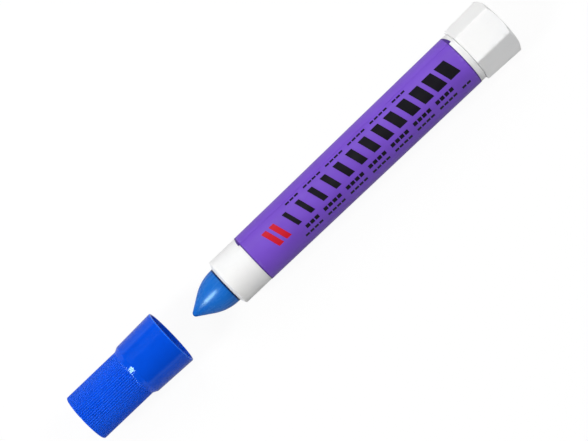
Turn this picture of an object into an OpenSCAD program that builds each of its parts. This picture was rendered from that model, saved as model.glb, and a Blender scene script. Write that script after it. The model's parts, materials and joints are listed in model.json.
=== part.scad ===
// Solid paint marker: a stick of paint that a turning knob screws out of its barrel, and a pull-off cap.
// It lies along X with the tip towards -X and the knob towards +X. Z is up and the lowest line is at Z = 0.
// The cap is drawn taken off, in line with the barrel.

/* [Paint stick] */
// Diameter of the paint stick
stick_d = 13; // [10:0.1:16]
// Straight length of stick in front of the barrel's mouth
stick_land = 0.6; // [0.2:0.1:3]
// Length of the bullet nose
bullet_l = 13.56; // [12:0.01:16]
// Angle of the nose's straight flank to the axis
flank_angle = 33; // [29:0.5:37]
// Radius of the blunt tip
tip_r = 1.1; // [0.6:0.1:2]
// Play between the stick and its holder's cup
stick_fit = 0.05; // [0.02:0.01:0.2]
// Play between the stick and the feed screw that runs up inside it
screw_room = 0.2; // [0.1:0.05:0.6]
// Empty length left ahead of the screw when the stick is wound right back
bore_spare = 1; // [0.5:0.1:3]

/* [Barrel] */
// Length of the barrel
barrel_l = 103.4; // [85:0.1:125]
// Wall of the barrel at its nose, outside the main bore
barrel_wall = 1.05; // [0.9:0.05:2]
// How much the barrel's radius grows from the nose to the rear end
barrel_flare = 0.6; // [0.2:0.05:1.2]
// Length of the bare cylindrical nose that the cap closes on
nose_l = 11.6; // [9:0.1:16]
// How far the nose's face slopes back from the mouth to its rim
nose_slope = 0.7; // [0.2:0.1:1.5]
// Radius of the nose's rim
nose_rim_r = 0.3; // [0.1:0.05:0.6]
// Play between the stick and the mouth
mouth_gap = 0.1; // [0.05:0.01:0.3]
// Length of the narrow mouth
mouth_l = 11; // [6:0.1:14]
// Chamfer round the barrel's rear end
rear_chamfer = 0.25; // [0.1:0.05:0.6]

/* [Keyways] */
// Depth of the two keyways that stop the holder from turning
key_deep = 0.5; // [0.3:0.05:0.7]
// Width of the keyways
key_w = 2.4; // [1.6:0.1:4]
// Play of a key on each side of its keyway
key_gap = 0.1; // [0.05:0.01:0.2]

/* [Label] */
// Thickness of the wrap-around film
label_t = 0.08; // [0.05:0.01:0.2]
// Thickness of the glue under the film
label_glue = 0.03; // [0.02:0.01:0.1]
// Bare band between the label and the barrel's rear end
rear_band = 2.1; // [1:0.1:6]
// Angle from the top to the label's lapped edge
lap_from = 36; // [0:1:140]
// Angle that the film laps over itself
lap_turn = 33; // [10:1:60]
// How far the lapped end stands out past the label's ends
lap_over = 0.4; // [0.1:0.1:1]

/* [Holder] */
// Length of the stick holder
holder_l = 12; // [9:0.5:20]
// Depth of the cup that grips the stick
cup_l = 7; // [4:0.5:8]
// Wall of the cup
holder_wall = 0.8; // [0.5:0.05:1.5]
// Play between the holder and the barrel's bore
slide_gap = 0.15; // [0.1:0.01:0.3]
// Play between the holder's nut and the screw
nut_gap = 0.08; // [0.03:0.01:0.1]
// Gap left behind the holder when it is wound right back
holder_stop = 0.5; // [0.2:0.1:2]
// Chamfer at the holder's rear end
holder_chamfer = 0.6; // [0.2:0.1:1]

/* [Feed] */
// Travel that winds the stick back from where it is drawn
feed_back = 15; // [14.5:0.5:20]
// Travel that winds the stick out with room left under the cap
feed_out = 7; // [3:0.5:12]
// Diameter of the feed screw over its thread
screw_d = 6; // [4.5:0.1:7]
// Distance from the bare nose's end to the front end of the screw
screw_set = 6.4; // [5:0.1:15]
// Point at the front end of the screw
screw_point = 1; // [0.5:0.1:1.5]
// Diameter of the thrust collar
collar_d = 11; // [8.5:0.1:13]
// Thickness of the thrust collar
collar_t = 1.6; // [1:0.1:3]
// Play between the collar and the end plug
collar_gap = 0.15; // [0.05:0.05:0.4]
// Diameter of the journal that turns in the end plug
journal_d = 6; // [5:0.1:7]
// Play round the journal
journal_gap = 0.06; // [0.02:0.01:0.1]
// Width of the square tail that carries the knob
tail_w = 4; // [3:0.1:4.6]
// Length of the square tail
tail_l = 8.5; // [6:0.1:9.5]
// Play of pressed-in pieces
press_gap = 0.03; // [0.01:0.01:0.08]

/* [End plug] */
// Length of the end plug
plug_l = 8; // [6:0.5:14]
// Thickness of the plug's flange
flange_t = 1.4; // [0.8:0.1:3]
// How much the flange is wider than the plug, on the radius
flange_step = 0.7; // [0.4:0.05:1]
// Chamfer at the plug's front end
plug_chamfer = 0.4; // [0.1:0.1:0.8]

/* [Knob] */
// Length of the knob along its edges
knob_l = 13.3; // [11:0.1:18]
// Height of the chamfer turned round the knob's end
knob_crown = 0.9; // [0.3:0.1:2]
// Angle of that chamfer to the end face
crown_angle = 30; // [20:1:45]
// Gap between the knob and the barrel
knob_gap = 0.3; // [0.15:0.05:0.6]
// How far the knob's flats lie inside the barrel's rear rim
knob_set_in = 0.25; // [0:0.05:0.5]
// How far each flat leans outwards over the knob's length
knob_flare = 0.4; // [0.1:0.05:0.8]
// How far in front of the end chamfer the flats are widest
flat_rim = 0.6; // [0.3:0.1:2]
// Angle by which the flats lean in again behind that line
rim_lean = 6; // [4:1:10]
// How much the turned corners cut off the hexagon's sharp corners
corner_trim = 0.12; // [0.1:0.01:0.4]
// Side wall of the hollow knob
knob_wall = 1.6; // [1:0.1:2.2]
// End wall of the knob
knob_end = 1.8; // [1.2:0.1:2.5]
// Wall of the socket round the screw's tail
socket_wall = 1.3; // [0.8:0.1:1.6]
// Empty length left behind the tail in its socket
socket_spare = 0.6; // [0.3:0.1:1]
// Thickness of the webs that join the socket to the flats
web_t = 1; // [0.6:0.1:1.6]
// How far the webs stand back from the knob's open end
web_set = 2.5; // [1:0.1:5]

/* [Cap] */
// Gap between the stick's tip and the mouth of the cap, as drawn
cap_clear = 9.5; // [5:0.5:20]
// Play between the cap's seat and the barrel's nose
cap_fit = 0.12; // [0.05:0.01:0.3]
// Wall of the cap's wide part
cap_wall = 0.8; // [0.6:0.05:1.5]
// How much the cap's radius grows from the step to its mouth
cap_flare = 0.48; // [0.2:0.02:0.8]
// Length of the cap's wide part
wide_l = 14.5; // [13.5:0.1:20]
// Length of the step between the wide part and the grip
step_l = 2.2; // [1:0.1:4]
// Radial height of the step, from the wide part down to the tops of the ribs
cap_step = 0.8; // [0.5:0.05:1.2]
// Depth of the seat inside the mouth
cap_seat = 13; // [11:0.1:13.4]
// Gap that stays between the seat and the nose when the cap is on
seat_gap = 0.1; // [0.05:0.05:0.5]
// Room left ahead of the stick at its furthest, with the cap on
tip_room = 1.5; // [0.5:0.1:4]
// End wall of the cap
cap_end = 1.4; // [0.8:0.1:3]
// Wall of the grip under its ribs
grip_wall = 1.1; // [0.8:0.05:1.6]
// Radius round the cap's closed end
cap_end_r = 0.3; // [0.2:0.1:1.2]
// Radius of the lip at the cap's mouth
lip_r = 0.2; // [0.1:0.05:0.3]

/* [Grip ribs] */
// Number of ribs round the grip
rib_n = 70; // [40:1:80]
// Height of the ribs
rib_h = 0.22; // [0.1:0.02:0.35]
// Share of the pitch that is the flat top of a rib
rib_top = 0.36; // [0.2:0.02:0.6]
// How far the ribs run on into the step
rib_in = 0.7; // [0.1:0.1:1]
// Smooth band between the ribs and the rounded end
rib_end = 0.1; // [0.1:0.1:2]

/* [Hidden] */
$fn = 96;
cap_blue = "#0a4ad8";
paint_blue = "#1e6fd0";
white_plastic = "#f4f4f2";
inner_plastic = "#e4e6e8";
label_violet = "#7a4fd0";

// Segments in a rounded profile, and overlap that keeps a cut clear of the face it opens
arc_steps = 6;
curve_steps = 14;
cut_over = 1;
hex_sides = 6;

// The stick's bullet nose is a shoulder arc, a straight flank and a small ball, each tangent to the next
stick_r = stick_d / 2;
flank_out = bullet_l - tip_r + tip_r * sin(flank_angle);
flank_rise = tan(flank_angle) * flank_out + tip_r * cos(flank_angle) - stick_r;
shoulder_r = flank_rise * cos(flank_angle) / (1 - cos(flank_angle));
tip_out = stick_land + bullet_l;

// Radii, from the stick outwards
screw_r = screw_d / 2;
holder_r = stick_r + stick_fit + holder_wall;
bore_r = holder_r + slide_gap;
mouth_r = stick_r + mouth_gap;
nose_r = bore_r + barrel_wall;
rear_r = nose_r + barrel_flare;
flange_r = bore_r + flange_step;

// Places along the axis, measured from the barrel's mouth towards the knob
label_front = nose_l;
label_back = barrel_l - rear_band;
plug_front = barrel_l - plug_l;
collar_back = plug_front - collar_gap;
collar_front = collar_back - collar_t;
holder_back = collar_front - holder_stop - feed_back;
holder_front = holder_back - holder_l;
stick_base = holder_front + cup_l;
screw_front = nose_l + screw_set;
stick_bore_front = screw_front - feed_back - bore_spare;
knob_front = barrel_l + knob_gap;
knob_back = knob_front + knob_l;
knob_top = knob_back + knob_crown;

// The cap, measured from its mouth towards its closed end
seat_r = nose_r + cap_fit;
wide_r = seat_r + cap_wall;
lip_out_r = wide_r + cap_flare;
lip_in_r = seat_r + cap_flare;
rib_top_r = wide_r - cap_step;
rib_root_r = rib_top_r - rib_h;
well_r = rib_root_r - grip_wall;
well_l = tip_out + feed_out + tip_room - seat_gap;
cap_l = cap_seat + well_l + cap_end;
grip_front = wide_l + step_l;
cap_mouth = -(tip_out + cap_clear);

// The knob's hexagon, as half its width across the flats and as its turned corner radius
flat_front = rear_r - knob_set_in;
flat_back = flat_front + knob_flare;
flat_lean = atan2(knob_flare, knob_l);
flat_wide = flat_back - flat_rim * tan(flat_lean);
corner_front = flat_front / cos(180 / hex_sides) - corner_trim;
corner_back = flat_back / cos(180 / hex_sides) - corner_trim;
crown_r = corner_back - knob_crown / tan(crown_angle);
socket_r = tail_w / sqrt(2) + socket_wall;

// The whole marker's middle along its axis, and the axis's height above the table
middle = (cap_mouth - cap_l + knob_top) / 2;
axis_z = max(lip_out_r, flat_wide);

// Radius of the barrel's cone, behind the nose, at a place along the axis
function barrel_r(s) = nose_r + barrel_flare * (s - nose_l) / (barrel_l - nose_l);

// Points of an arc in a profile, about a centre, from one angle to another
function arc(centre, r, from, to, steps) =
    [for (i = [0:steps]) let (a = from + (to - from) * i / steps) centre + r * [cos(a), sin(a)]];

// Smooth step from one radius to another, as a half wave
function wave(r_from, r_to, s_from, length, steps) =
    [for (i = [0:steps]) let (t = i / steps)
        [r_from + (r_to - r_from) * (1 - cos(180 * t)) / 2, s_from + length * t]];

// Lays a piece that was drawn upright, along its axis, down on the table
module lie_down() {
    translate([-middle, 0, axis_z]) rotate([0, 90, 0]) children();
}

// Two key shapes on opposite sides of the axis, from one place along it to another
module keys(width, reach, from, to) {
    translate([-reach, -width / 2, from]) cube([2 * reach, width, to - from]);
}

// Round rod from one place along the axis to another
module rod(r, from, to) {
    translate([0, 0, from]) cylinder(r = r, h = to - from);
}

module cap_outside() {
    rotate_extrude() polygon(concat(
        [[0, 0]],
        arc([lip_out_r - lip_r, lip_r], lip_r, -90, 0, arc_steps),
        wave(wide_r, rib_root_r, wide_l, step_l, curve_steps),
        arc([rib_root_r - cap_end_r, cap_l - cap_end_r], cap_end_r, 0, 90, arc_steps),
        [[0, cap_l]]
    ));
}

module grip_ribs() {
    pitch = 360 / rib_n;
    root = rib_root_r + rib_h / 10;
    from = grip_front - rib_in;
    to = cap_l - cap_end_r - rib_end;
    translate([0, 0, from]) linear_extrude(to - from) polygon([
        for (i = [0:rib_n - 1]) each [
            root * [cos((i - 0.5) * pitch), sin((i - 0.5) * pitch)],
            rib_top_r * [cos((i - rib_top / 2) * pitch), sin((i - rib_top / 2) * pitch)],
            rib_top_r * [cos((i + rib_top / 2) * pitch), sin((i + rib_top / 2) * pitch)]
        ]
    ]);
}

module cap_inside() {
    rotate_extrude() polygon([
        [0, -cut_over],
        [lip_in_r + lip_r, -cut_over],
        [lip_in_r + lip_r, 0],
        [lip_in_r, lip_r],
        [seat_r, cap_seat],
        [well_r, cap_seat],
        [well_r, cap_seat + well_l],
        [0, cap_seat + well_l]
    ]);
}

module cap() {
    color(cap_blue) lie_down() translate([0, 0, cap_mouth]) rotate([180, 0, 0]) difference() {
        union() {
            cap_outside();
            grip_ribs();
        }
        cap_inside();
    }
}

module paint_stick() {
    color(paint_blue) lie_down() difference() {
        rotate_extrude() polygon(concat(
            [[0, stick_base], [stick_r, stick_base]],
            [for (p = arc([stick_r - shoulder_r, 0], shoulder_r, 0, flank_angle, curve_steps))
                [p.x, -stick_land - p.y]],
            [for (p = arc([0, bullet_l - tip_r], tip_r, flank_angle, 90, arc_steps)) [p.x, -stick_land - p.y]]
        ));
        rod(screw_r + screw_room, stick_bore_front, stick_base + cut_over);
    }
}

module barrel() {
    color(white_plastic) lie_down() difference() {
        rotate_extrude() polygon(concat(
            [[mouth_r, 0]],
            arc([nose_r - nose_rim_r, nose_slope + nose_rim_r], nose_rim_r, -60, 0, arc_steps),
            [
                [nose_r, nose_l],
                [barrel_r(barrel_l - rear_chamfer), barrel_l - rear_chamfer],
                [rear_r - rear_chamfer, barrel_l],
                [flange_r, barrel_l],
                [flange_r, barrel_l - flange_t],
                [bore_r, barrel_l - flange_t],
                [bore_r, mouth_l + bore_r - mouth_r],
                [mouth_r, mouth_l]
            ]
        ));
        keys(key_w, bore_r + key_deep, mouth_l + bore_r - mouth_r, barrel_l - flange_t);
    }
}

// Section of a layer of film between two heights above the barrel, reaching past the label's ends
module film(low, high, past) {
    front = label_front - past;
    back = label_back + past;
    polygon([
        [barrel_r(front) + low, front],
        [barrel_r(front) + high, front],
        [barrel_r(back) + high, back],
        [barrel_r(back) + low, back]
    ]);
}

module label() {
    top = label_glue + label_t;
    color(label_violet) lie_down() union() {
        rotate_extrude() film(label_glue, top, 0);
        rotate([0, 0, 180 - lap_from - lap_turn])
            rotate_extrude(angle = lap_turn) film(top - label_t / 2, top + label_t, lap_over);
    }
}

module stick_holder() {
    color(inner_plastic) lie_down() difference() {
        union() {
            rod(holder_r, holder_front, holder_back - holder_chamfer);
            translate([0, 0, holder_back - holder_chamfer])
                cylinder(r1 = holder_r, r2 = holder_r - holder_chamfer, h = holder_chamfer);
            keys(key_w - 2 * key_gap, bore_r + key_deep - key_gap, holder_front, holder_back - holder_chamfer);
        }
        rod(stick_r + stick_fit, holder_front - cut_over, stick_base);
        rod(screw_r + nut_gap, stick_base - cut_over, holder_back + cut_over);
    }
}

module feed_screw() {
    color(inner_plastic) lie_down() union() {
        translate([0, 0, screw_front]) cylinder(r1 = screw_r - screw_point, r2 = screw_r, h = screw_point);
        rod(screw_r, screw_front + screw_point, collar_front);
        rod(collar_d / 2, collar_front, collar_back);
        rod(journal_d / 2, collar_back, knob_front);
        translate([-tail_w / 2, -tail_w / 2, knob_front]) cube([tail_w, tail_w, tail_l]);
    }
}

module end_plug() {
    body_r = bore_r - press_gap;
    color(white_plastic) lie_down() difference() {
        union() {
            translate([0, 0, plug_front]) cylinder(r1 = body_r - plug_chamfer, r2 = body_r, h = plug_chamfer);
            rod(body_r, plug_front + plug_chamfer, barrel_l);
            rod(flange_r - press_gap, barrel_l - flange_t, barrel_l);
            keys(key_w - 2 * press_gap, bore_r + key_deep - press_gap,
                plug_front + plug_chamfer, barrel_l - flange_t);
        }
        rod(journal_d / 2 + journal_gap, plug_front - cut_over, barrel_l + cut_over);
    }
}

// Solid knob: a turned blank with a chamfered end and six leaning flats, whose ends the chamfer makes arched. Each flat
// leans in again just before its end, so the knob lies on a straight line across the flat.
module knob_blank() {
    flat_over = corner_back;
    difference() {
        rotate_extrude() polygon([
            [0, knob_front],
            [corner_front, knob_front],
            [corner_back, knob_back],
            [crown_r, knob_top],
            [0, knob_top]
        ]);
        for (i = [0:hex_sides - 1]) rotate([0, 0, i * 360 / hex_sides]) {
            translate([flat_front, 0, knob_front]) rotate([0, flat_lean, 0])
                translate([0, -flat_over, -cut_over])
                    cube([flat_over, 2 * flat_over, knob_l + knob_crown + 2 * cut_over]);
            translate([flat_wide, 0, knob_back - flat_rim]) rotate([0, -rim_lean, 0])
                translate([0, -flat_over, 0])
                    cube([flat_over, 2 * flat_over, flat_rim + knob_crown + cut_over]);
        }
    }
}

module knob() {
    pocket_r = (flat_front - knob_wall) / cos(180 / hex_sides);
    pocket_back = knob_top - knob_end;
    color(white_plastic) lie_down() difference() {
        union() {
            difference() {
                knob_blank();
                translate([0, 0, knob_front - cut_over]) rotate([0, 0, 180 / hex_sides])
                    cylinder(r = pocket_r, h = pocket_back - knob_front + cut_over, $fn = hex_sides);
            }
            rod(socket_r, knob_front, pocket_back + knob_end / 2);
            for (i = [0:hex_sides - 1]) rotate([0, 0, i * 360 / hex_sides])
                translate([0, -web_t / 2, knob_front + web_set])
                    cube([flat_front - knob_wall / 2, web_t, pocket_back + knob_end / 2 - knob_front - web_set]);
        }
        translate([-tail_w / 2 - press_gap, -tail_w / 2 - press_gap, knob_front - cut_over])
            cube([tail_w + 2 * press_gap, tail_w + 2 * press_gap, tail_l + socket_spare + cut_over]);
    }
}

cap();
paint_stick();
barrel();
label();
stick_holder();
feed_screw();
end_plug();
knob();
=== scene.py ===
# %% [markdown]
# Solid paint marker: a lesson in turned, ribbed and wrapped shapes, and in plastic, wax and film
# finishes. A knob at the rear of the marker turns a screw inside the barrel, and the screw pushes a
# stick of paint out of the mouth. The cap has been pulled off and lies in line with the barrel, with
# its open mouth towards the tip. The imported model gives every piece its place, so no piece is placed
# by eye.

# %% Load the frame
import json
import math

import bmesh
import bpy
from mathutils import Matrix, Vector


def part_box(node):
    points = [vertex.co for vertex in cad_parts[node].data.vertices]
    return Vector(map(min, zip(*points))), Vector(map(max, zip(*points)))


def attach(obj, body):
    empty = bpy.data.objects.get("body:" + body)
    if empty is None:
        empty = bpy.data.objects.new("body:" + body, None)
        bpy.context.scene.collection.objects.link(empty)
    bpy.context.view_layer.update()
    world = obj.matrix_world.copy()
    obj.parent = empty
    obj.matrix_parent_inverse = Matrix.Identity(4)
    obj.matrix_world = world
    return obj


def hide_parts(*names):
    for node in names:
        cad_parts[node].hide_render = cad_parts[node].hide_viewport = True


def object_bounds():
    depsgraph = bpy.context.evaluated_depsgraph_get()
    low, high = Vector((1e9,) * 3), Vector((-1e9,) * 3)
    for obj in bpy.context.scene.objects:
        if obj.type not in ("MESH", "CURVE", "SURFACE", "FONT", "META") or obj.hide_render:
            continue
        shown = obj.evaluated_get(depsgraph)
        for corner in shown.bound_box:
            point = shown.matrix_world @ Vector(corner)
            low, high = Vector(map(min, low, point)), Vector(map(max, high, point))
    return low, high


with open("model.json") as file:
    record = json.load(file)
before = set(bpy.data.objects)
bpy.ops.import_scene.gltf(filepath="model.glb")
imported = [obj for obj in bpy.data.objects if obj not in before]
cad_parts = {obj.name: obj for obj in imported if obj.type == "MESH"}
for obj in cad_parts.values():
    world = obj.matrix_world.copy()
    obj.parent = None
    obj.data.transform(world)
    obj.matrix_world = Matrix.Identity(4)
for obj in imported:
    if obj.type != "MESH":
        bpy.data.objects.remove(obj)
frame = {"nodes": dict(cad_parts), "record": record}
CAD_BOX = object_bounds()

# %% [markdown]
# Nearly every piece of the marker is round about one axis. It is easiest to think of them as a lathe
# operator does: a place along the axis and a radius. The axis and the main places are read from the
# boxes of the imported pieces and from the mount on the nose, so that they follow the model.

# %% Places along the axis and main radii
MM = 0.001
CAP_LOW, CAP_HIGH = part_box("cap")
STICK_LOW, STICK_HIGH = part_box("paint_stick")
BARREL_LOW, BARREL_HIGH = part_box("barrel")
SCREW_LOW, SCREW_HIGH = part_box("feed_screw")
KNOB_LOW, KNOB_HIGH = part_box("knob")
PLUG_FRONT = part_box("end_plug")[0].x
MOUNTS = {mount["name"]: mount for mount in frame["record"]["mounts"]}

AXIS_Z = (BARREL_LOW.z + BARREL_HIGH.z) / 2
AXIS_POINT = Vector((0, 0, AXIS_Z))
MOUTH_X = BARREL_LOW.x
REAR_X = BARREL_HIGH.x
NOSE_R = MOUNTS["nose_seat"]["dims"]["r_mm"] * MM
REAR_R = 9.15 * MM
NOSE_END = MOUTH_X + 11.6 * MM
LABEL_FRONT = NOSE_END
LABEL_BACK = REAR_X - 2.1 * MM
LIP_OUT_R = (CAP_HIGH.y - CAP_LOW.y) / 2
print("axis height", round(AXIS_Z / MM, 3), "nose radius", round(NOSE_R / MM, 3), "mm")

# %% [markdown]
# The photograph looks almost straight down, from a camera that leans a little towards the near side,
# so that the top flat of the knob shows widest and one side flat shows beside it. A long lens keeps
# both ends of the marker at nearly the same size. The camera is turned about its own view line, so
# the marker runs from the lower left to the upper right of the frame. The marker could be turned
# instead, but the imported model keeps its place.

# %% Camera
VIEW_LEAN = math.radians(7.5)
VIEW_ROLL = math.radians(-43.64)
VIEW_DISTANCE = 0.640
LENS_MM = 125.5
SENSOR_MM = 36
NEAREST_SEEN = 0.01
AIM_RIGHT = 0.40 * MM
AIM_UP = 0.15 * MM

turned_view = Matrix.Rotation(VIEW_LEAN, 3, "X") @ Matrix.Rotation(VIEW_ROLL, 3, "Z")
view_right, view_up, view_back = (turned_view.col[number] for number in range(3))
aim = AXIS_POINT + view_right * AIM_RIGHT + view_up * AIM_UP

bpy.ops.object.select_all(action="DESELECT")
bpy.ops.object.camera_add(
    location=aim + view_back * VIEW_DISTANCE, rotation=turned_view.to_euler()
)
camera = bpy.context.object
camera.data.lens = LENS_MM
camera.data.sensor_width = SENSOR_MM
camera.data.clip_start = NEAREST_SEEN
bpy.context.scene.camera = camera
bpy.context.scene.view_settings.view_transform = "Standard"
print("camera at", [round(value, 3) for value in camera.location])

# %% [markdown]
# The light is a small studio. A key lamp stands high beyond the cap, a weaker one faces it from the
# knob's end, and a third on the far side brightens the upper left of the white plastic, so that it
# shades to grey at the lower right. What a glossy surface mirrors is set apart from what lights it.
# The three lamps are left out of reflections, as lamps behind large screens would be, so that the
# blue plastic stays deep. A tall bright card beyond the cap is seen only in reflections, and its
# image is the mark on the cap's step and the streak on the paint.

# %% Soft boxes
def soft_box(name, bearing, distance, size, watts, mirrored=False):
    """Add a rectangular lamp at a bearing, which lights the marker or is only mirrored in it."""
    place = AXIS_POINT + Vector(bearing).normalized() * distance
    turn = (place - AXIS_POINT).to_track_quat("Z", "Y").to_euler()
    bpy.ops.object.light_add(type="AREA", location=place, rotation=turn)
    lamp = bpy.context.object
    lamp.name = name
    lamp.data.shape = "RECTANGLE"
    lamp.data.size, lamp.data.size_y = size
    lamp.data.energy = watts
    lamp.visible_diffuse = not mirrored
    lamp.visible_glossy = mirrored
    print(name, "at", [round(value, 2) for value in place])


soft_box("key_box", (-0.71, 0.05, 0.70), 2.4, (0.60, 0.50), 30.5)
soft_box("end_box", (0.71, 0.0, 0.70), 2.4, (0.90, 0.90), 16.5)
soft_box("side_box", (0.0, 0.68, 0.74), 1.5, (1.0, 0.8), 8.4)
soft_box("streak_card", (-0.79, 0.10, 0.61), 2.4, (0.68, 2.39), 152, mirrored=True)

# %% [markdown]
# Every finish is built from a few node moves: read a place on the piece, make cloudy noise from it,
# squeeze a value into a range, mix two colours, and raise small bumps. Naming these moves once keeps
# each finish readable. A plain number or colour is written on the socket itself, and only what varies
# over the surface is linked.

# %% Node helpers
def fill(tree, made, inputs):
    """Fill a node's inputs: link the outputs of other nodes, and write plain values."""
    for name, value in inputs.items():
        if isinstance(value, bpy.types.NodeSocket):
            tree.links.new(value, made.inputs[name])
        else:
            made.inputs[name].default_value = value


def add_node(tree, kind, inputs, **choices):
    """Add a node, set its menu choices and fill its inputs."""
    made = tree.nodes.new(kind)
    for choice, value in choices.items():
        setattr(made, choice, value)
    fill(tree, made, inputs)
    return made


def maths(tree, operation, *values):
    """One arithmetic step on numbers or outputs."""
    inputs = dict(enumerate(values))
    return add_node(tree, "ShaderNodeMath", inputs, operation=operation).outputs["Value"]


def times(tree, first, *others):
    """The product of several values, such as shares that have to hold together."""
    for other in others:
        first = maths(tree, "MULTIPLY", first, other)
    return first


def ramp(tree, value, low, high, at_low=0.0, at_high=1.0):
    """Squeeze a value from one range into another, without running past its ends."""
    limits = {"From Min": low, "From Max": high, "To Min": at_low, "To Max": at_high}
    inputs = {"Value": value, **limits}
    return add_node(tree, "ShaderNodeMapRange", inputs, clamp=True).outputs["Result"]


def blend(tree, share, first, second):
    """Mix two colours."""
    inputs = {0: share, 6: first, 7: second}
    return add_node(tree, "ShaderNodeMix", inputs, data_type="RGBA").outputs[2]


def cloud(tree, place, scale, detail=3.0, roughness=0.5):
    """Cloudy noise between 0 and 1."""
    inputs = {"Vector": place, "Scale": scale, "Detail": detail, "Roughness": roughness}
    return add_node(tree, "ShaderNodeTexNoise", inputs).outputs["Fac"]


def drifting(tree, place, scale, first, second):
    """A colour that drifts between two others in soft clouds."""
    return blend(tree, ramp(tree, cloud(tree, place, scale), 0.3, 0.7), first, second)


def stretched(tree, place, scale):
    """The same places, with each direction scaled by itself."""
    return add_node(tree, "ShaderNodeMapping", {"Vector": place, "Scale": scale}).outputs["Vector"]


def relief(tree, shader, height, depth, strength):
    """Raise a height pattern on the surface."""
    inputs = {"Height": height, "Distance": depth, "Strength": strength}
    fill(tree, shader, {"Normal": add_node(tree, "ShaderNodeBump", inputs).outputs["Normal"]})


def mix_shaders(tree, share, first, second):
    """Mix two shaders."""
    inputs = {0: share, 1: first, 2: second}
    return add_node(tree, "ShaderNodeMixShader", inputs).outputs["Shader"]


def start_finish(name):
    """New material, with its node tree, its shader and the places on the piece."""
    material = bpy.data.materials.new(name)
    material.use_nodes = True
    tree = material.node_tree
    place = tree.nodes.new("ShaderNodeTexCoord").outputs["Object"]
    return material, tree, tree.nodes["Principled BSDF"], place


print("node helpers ready")

# %% [markdown]
# On a lathe a point has three numbers: how far along the axis it is, how far out, and how far round.
# The finishes use them for all that follows the piece's shape, such as a rubbed rib or a printed bar.

# %% Lathe places of a finish
def place_along(tree, place):
    """Place of each point along the axis."""
    return add_node(tree, "ShaderNodeSeparateXYZ", {"Vector": place}).outputs["X"]


def across_and_up(tree, place):
    """How far each point is to the side of the axis, and above it."""
    parts = add_node(tree, "ShaderNodeSeparateXYZ", {"Vector": place}).outputs
    return parts["Y"], maths(tree, "SUBTRACT", parts["Z"], AXIS_Z)


def place_out(tree, place):
    """Distance of each point from the axis."""
    across, up = across_and_up(tree, place)
    squares = maths(tree, "ADD", times(tree, across, across), times(tree, up, up))
    return maths(tree, "SQRT", squares)


def place_round(tree, place):
    """Angle of each point about the axis, from the top towards +Y."""
    return maths(tree, "ARCTAN2", *across_and_up(tree, place))


print("lathe places ready")

# %% [markdown]
# The surround is what the marker mirrors. It is white at the level of the table, as a bench in a
# bright room is, and dimmer overhead, where the ceiling is. Its light on the marker is the same from
# all sides. The camera and the mirrored rays see the white horizon, which is also the background of
# low views. A picture of a room could be wrapped round the scene instead, but a plain ramp of white
# is easier to tune.

# %% Surround
WHITE = (1, 1, 1, 1)
SURROUND_LIGHT = 0.24
CEILING_SEEN = 0.06
HORIZON_RISE = 0.08
CEILING_RISE = 0.30


def seen_by_eye(tree):
    """1 for rays that the eye sends out, also by way of gloss or glass, and 0 for the others."""
    path = tree.nodes.new("ShaderNodeLightPath").outputs
    seen = maths(tree, "MAXIMUM", path["Is Camera Ray"], path["Is Glossy Ray"])
    return maths(tree, "MAXIMUM", seen, path["Is Transmission Ray"])


def white_sky(tree, strength):
    """White light from far away."""
    inputs = {"Color": WHITE, "Strength": strength}
    return add_node(tree, "ShaderNodeBackground", inputs).outputs["Background"]


surround = bpy.data.worlds.new("pale_surround")
bpy.context.scene.world = surround
surround.use_nodes = True
sky = surround.node_tree
bearing = sky.nodes.new("ShaderNodeTexCoord").outputs["Generated"]
rise = add_node(sky, "ShaderNodeSeparateXYZ", {"Vector": bearing}).outputs["Z"]
horizon = white_sky(sky, ramp(sky, rise, HORIZON_RISE, CEILING_RISE, 1.0, CEILING_SEEN))
sky_mix = mix_shaders(sky, seen_by_eye(sky), white_sky(sky, SURROUND_LIGHT), horizon)
fill(sky, sky.nodes["World Output"], {"Surface": sky_mix})
print("surround lights at", SURROUND_LIGHT)

# %% [markdown]
# The floor is a sheet of pale paper. The eye sees it white, as in the photograph, because most of
# what the camera sees there is plain white and only a small share is lit, and that share still shows
# the marker's soft shadow. In the marker's own gloss the paper is dimmer and the shadow counts for
# more, so that the flanks of the blue plastic stay deep. Light that bounces off the floor onto the
# marker comes from the lit paper alone.

# %% Floor
FLOOR_SIZE = 6.0
PAPER_GREY = (0.52, 0.52, 0.52, 1)
MIRRORED_PAPER = 0.45
SHADOW_SHARE = 0.07
MIRRORED_SHADOW_SHARE = 0.90

bpy.ops.object.select_all(action="DESELECT")
bpy.ops.mesh.primitive_plane_add(size=FLOOR_SIZE, location=(0, 0, CAD_BOX[0].z))
floor = bpy.context.object
floor.name = "paper_floor"
paper, tree, shader, _ = start_finish("pale_paper")
fill(tree, shader, {"Base Color": PAPER_GREY, "Roughness": 0.9, "Specular IOR Level": 0.0})
in_gloss = tree.nodes.new("ShaderNodeLightPath").outputs["Is Glossy Ray"]
plain_white = add_node(tree, "ShaderNodeEmission", {"Color": WHITE, "Strength": 1.0}).outputs[0]
paper_tone = ramp(tree, in_gloss, 0, 1, 1.0, MIRRORED_PAPER)
shaded = add_node(tree, "ShaderNodeBsdfDiffuse", {"Color": paper_tone}).outputs[0]
shadow_share = ramp(tree, in_gloss, 0, 1, SHADOW_SHARE, MIRRORED_SHADOW_SHARE)
shown = mix_shaders(tree, shadow_share, plain_white, shaded)
paper_mix = mix_shaders(tree, seen_by_eye(tree), shader.outputs["BSDF"], shown)
fill(tree, tree.nodes["Material Output"], {"Surface": paper_mix})
floor.data.materials.append(paper)
print("floor at", round(CAD_BOX[0].z / MM, 3), "mm")

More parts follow.
